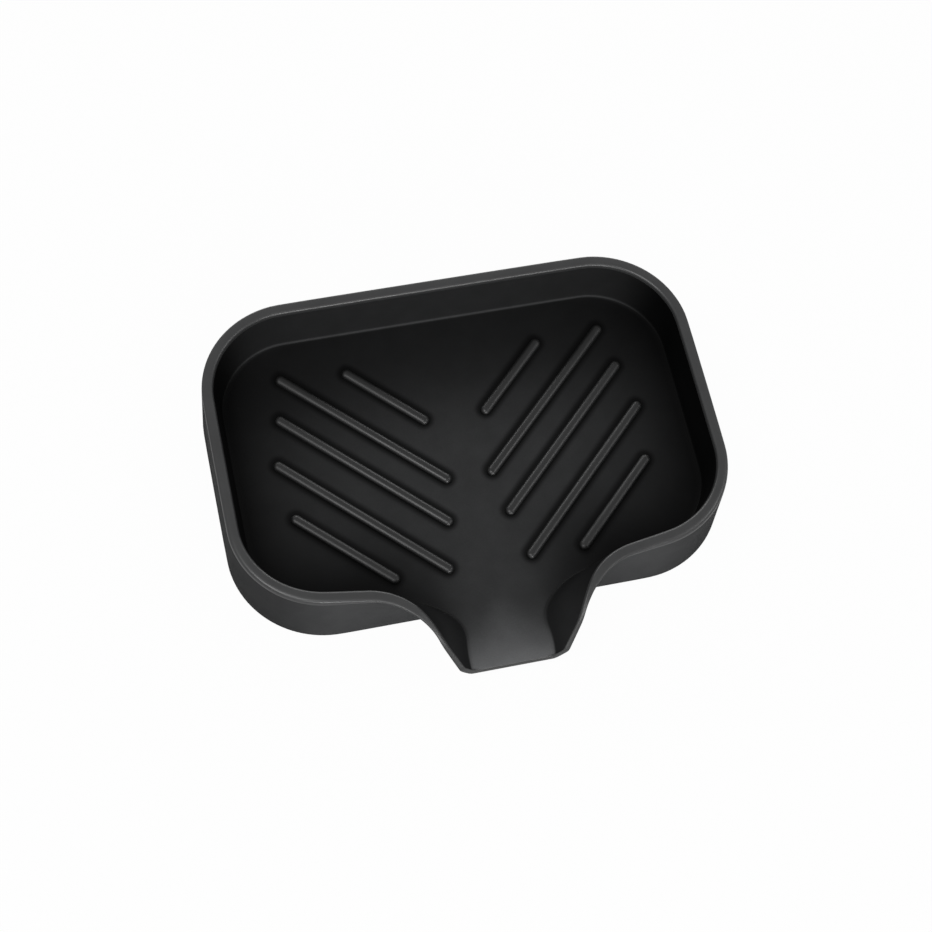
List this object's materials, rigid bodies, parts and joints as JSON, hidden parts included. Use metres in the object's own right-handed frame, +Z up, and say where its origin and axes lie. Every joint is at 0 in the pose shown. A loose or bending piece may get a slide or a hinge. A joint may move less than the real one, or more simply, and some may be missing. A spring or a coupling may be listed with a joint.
{
  "type": "self-draining sink tray",
  "caption": "Low rounded tray in matte black silicone with slanted draining ribs and a front pour spout, which holds a bottle, soap or sponges beside a sink.",
  "frame": {"origin": "under the middle of the whole tray with its spout, on the surface that it stands on", "axes": "+X to the right along the long side, +Y to the back, away from the spout, +Z up out of the tray"},
  "size_m": [0.139, 0.1114, 0.0224],
  "materials": {
    "silicone": "matte moulded silicone with a soft sheen"
  },
  "bodies": {
    "root": {"floor_pan": "silicone", "rim_wall": "silicone", "pour_spout": "silicone", "drain_rib_left_1": "silicone", "drain_rib_left_2": "silicone", "drain_rib_left_3": "silicone", "drain_rib_left_4": "silicone", "drain_rib_left_5": "silicone", "drain_rib_right_1": "silicone", "drain_rib_right_2": "silicone", "drain_rib_right_3": "silicone", "drain_rib_right_4": "silicone", "drain_rib_right_5": "silicone", "support_stud_back_left": "silicone", "support_stud_back_middle": "silicone", "support_stud_back_right": "silicone", "support_stud_front_left": "silicone", "support_stud_front_middle": "silicone", "support_stud_front_right": "silicone"}
  },
  "joints": []
}
